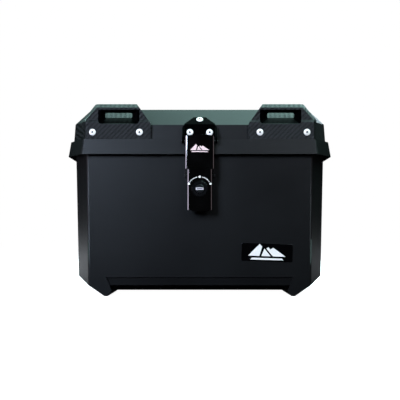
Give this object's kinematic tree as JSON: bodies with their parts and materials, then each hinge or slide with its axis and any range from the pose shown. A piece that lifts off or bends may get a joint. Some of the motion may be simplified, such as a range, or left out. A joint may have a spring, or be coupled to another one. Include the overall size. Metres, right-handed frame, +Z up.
{
  "type": "motorcycle top case",
  "caption": "Hard motorcycle top case: drafted tub, hinged skirted lid with riveted corner caps and strap windows, and a front hasp latch with a key lock.",
  "frame": {"origin": "centre of the footprint, at the underside of the two runners", "axes": "+X to the right seen from the latch side, -Y out of the latch side, +Z up"},
  "size_m": [0.445, 0.394, 0.318],
  "materials": {
    "case_plastic": "fine-grained satin black ABS",
    "lid_plastic": "fine-grained satin black ABS",
    "cap_plastic": "black with a carbon twill relief",
    "plate_steel": "black powder coat",
    "mat_rubber": "ribbed",
    "seal_rubber": "closed-cell sponge",
    "keeper_steel": "zinc plated",
    "badge_gloss": "gloss black with a white device",
    "latch_gloss": "gloss black powder coat",
    "bracket_black": "satin black powder coat",
    "pin_steel": "dark zinc",
    "lock_black": "semi-gloss black",
    "lock_face": "black with a bright key slot",
    "nut_steel": "zinc plated",
    "rivet_dark": "black",
    "rivet_bright": "bright domed",
    "hinge_black": "satin black powder coat"
  },
  "bodies": {
    "case": {"base_shell": "case_plastic", "floor_plate": "plate_steel", "floor_mat": "mat_rubber", "rim_seal": "seal_rubber", "latch_keeper": "keeper_steel", "keeper_rivets": "rivet_dark", "badge_plate": "badge_gloss", "hinge_lower_leaf_left": "hinge_black", "hinge_lower_leaf_right": "hinge_black", "hinge_pin_left": "pin_steel", "hinge_pin_right": "pin_steel", "hinge_lower_rivets": "rivet_bright"},
    "lid": {"lid_shell": "lid_plastic", "corner_cap_front_left": "cap_plastic", "corner_cap_front_right": "cap_plastic", "corner_cap_rear_left": "cap_plastic", "corner_cap_rear_right": "cap_plastic", "cap_rivets_front": "rivet_bright", "cap_rivets_rear": "rivet_bright", "latch_bracket": "bracket_black", "latch_bracket_rivets": "rivet_bright", "hasp_pivot_pin": "pin_steel", "hinge_upper_leaf_left": "hinge_black", "hinge_upper_leaf_right": "hinge_black", "hinge_upper_rivets": "rivet_bright"},
    "hasp": {"hasp_plate": "latch_gloss", "lever_pivot_pin": "pin_steel"},
    "lever": {"lever_plate": "latch_gloss", "lock_housing": "lock_black", "lock_nut": "nut_steel"},
    "key": {"lock_plug": "lock_face", "lock_cam": "keeper_steel", "cam_screw": "nut_steel"}
  },
  "joints": [
    {"name": "lid_hinge", "type": "hinge", "parent": "case", "child": "lid", "pos_m": [0, 0.192, 0.229], "axis": [-1, 0, 0], "range_deg": [0, 95]},
    {"name": "hasp_hinge", "type": "hinge", "parent": "lid", "child": "hasp", "pos_m": [0, -0.188, 0.253], "axis": [-1, 0, 0], "range_deg": [0, 75]},
    {"name": "lever_hinge", "type": "hinge", "parent": "hasp", "child": "lever", "pos_m": [0, -0.1885, 0.197], "axis": [-1, 0, 0], "range_deg": [0, 100]},
    {"name": "key_turn", "type": "hinge", "parent": "lever", "child": "key", "pos_m": [0, -0.19, 0.1753], "axis": [0, 1, 0], "range_deg": [0, 90]}
  ]
}
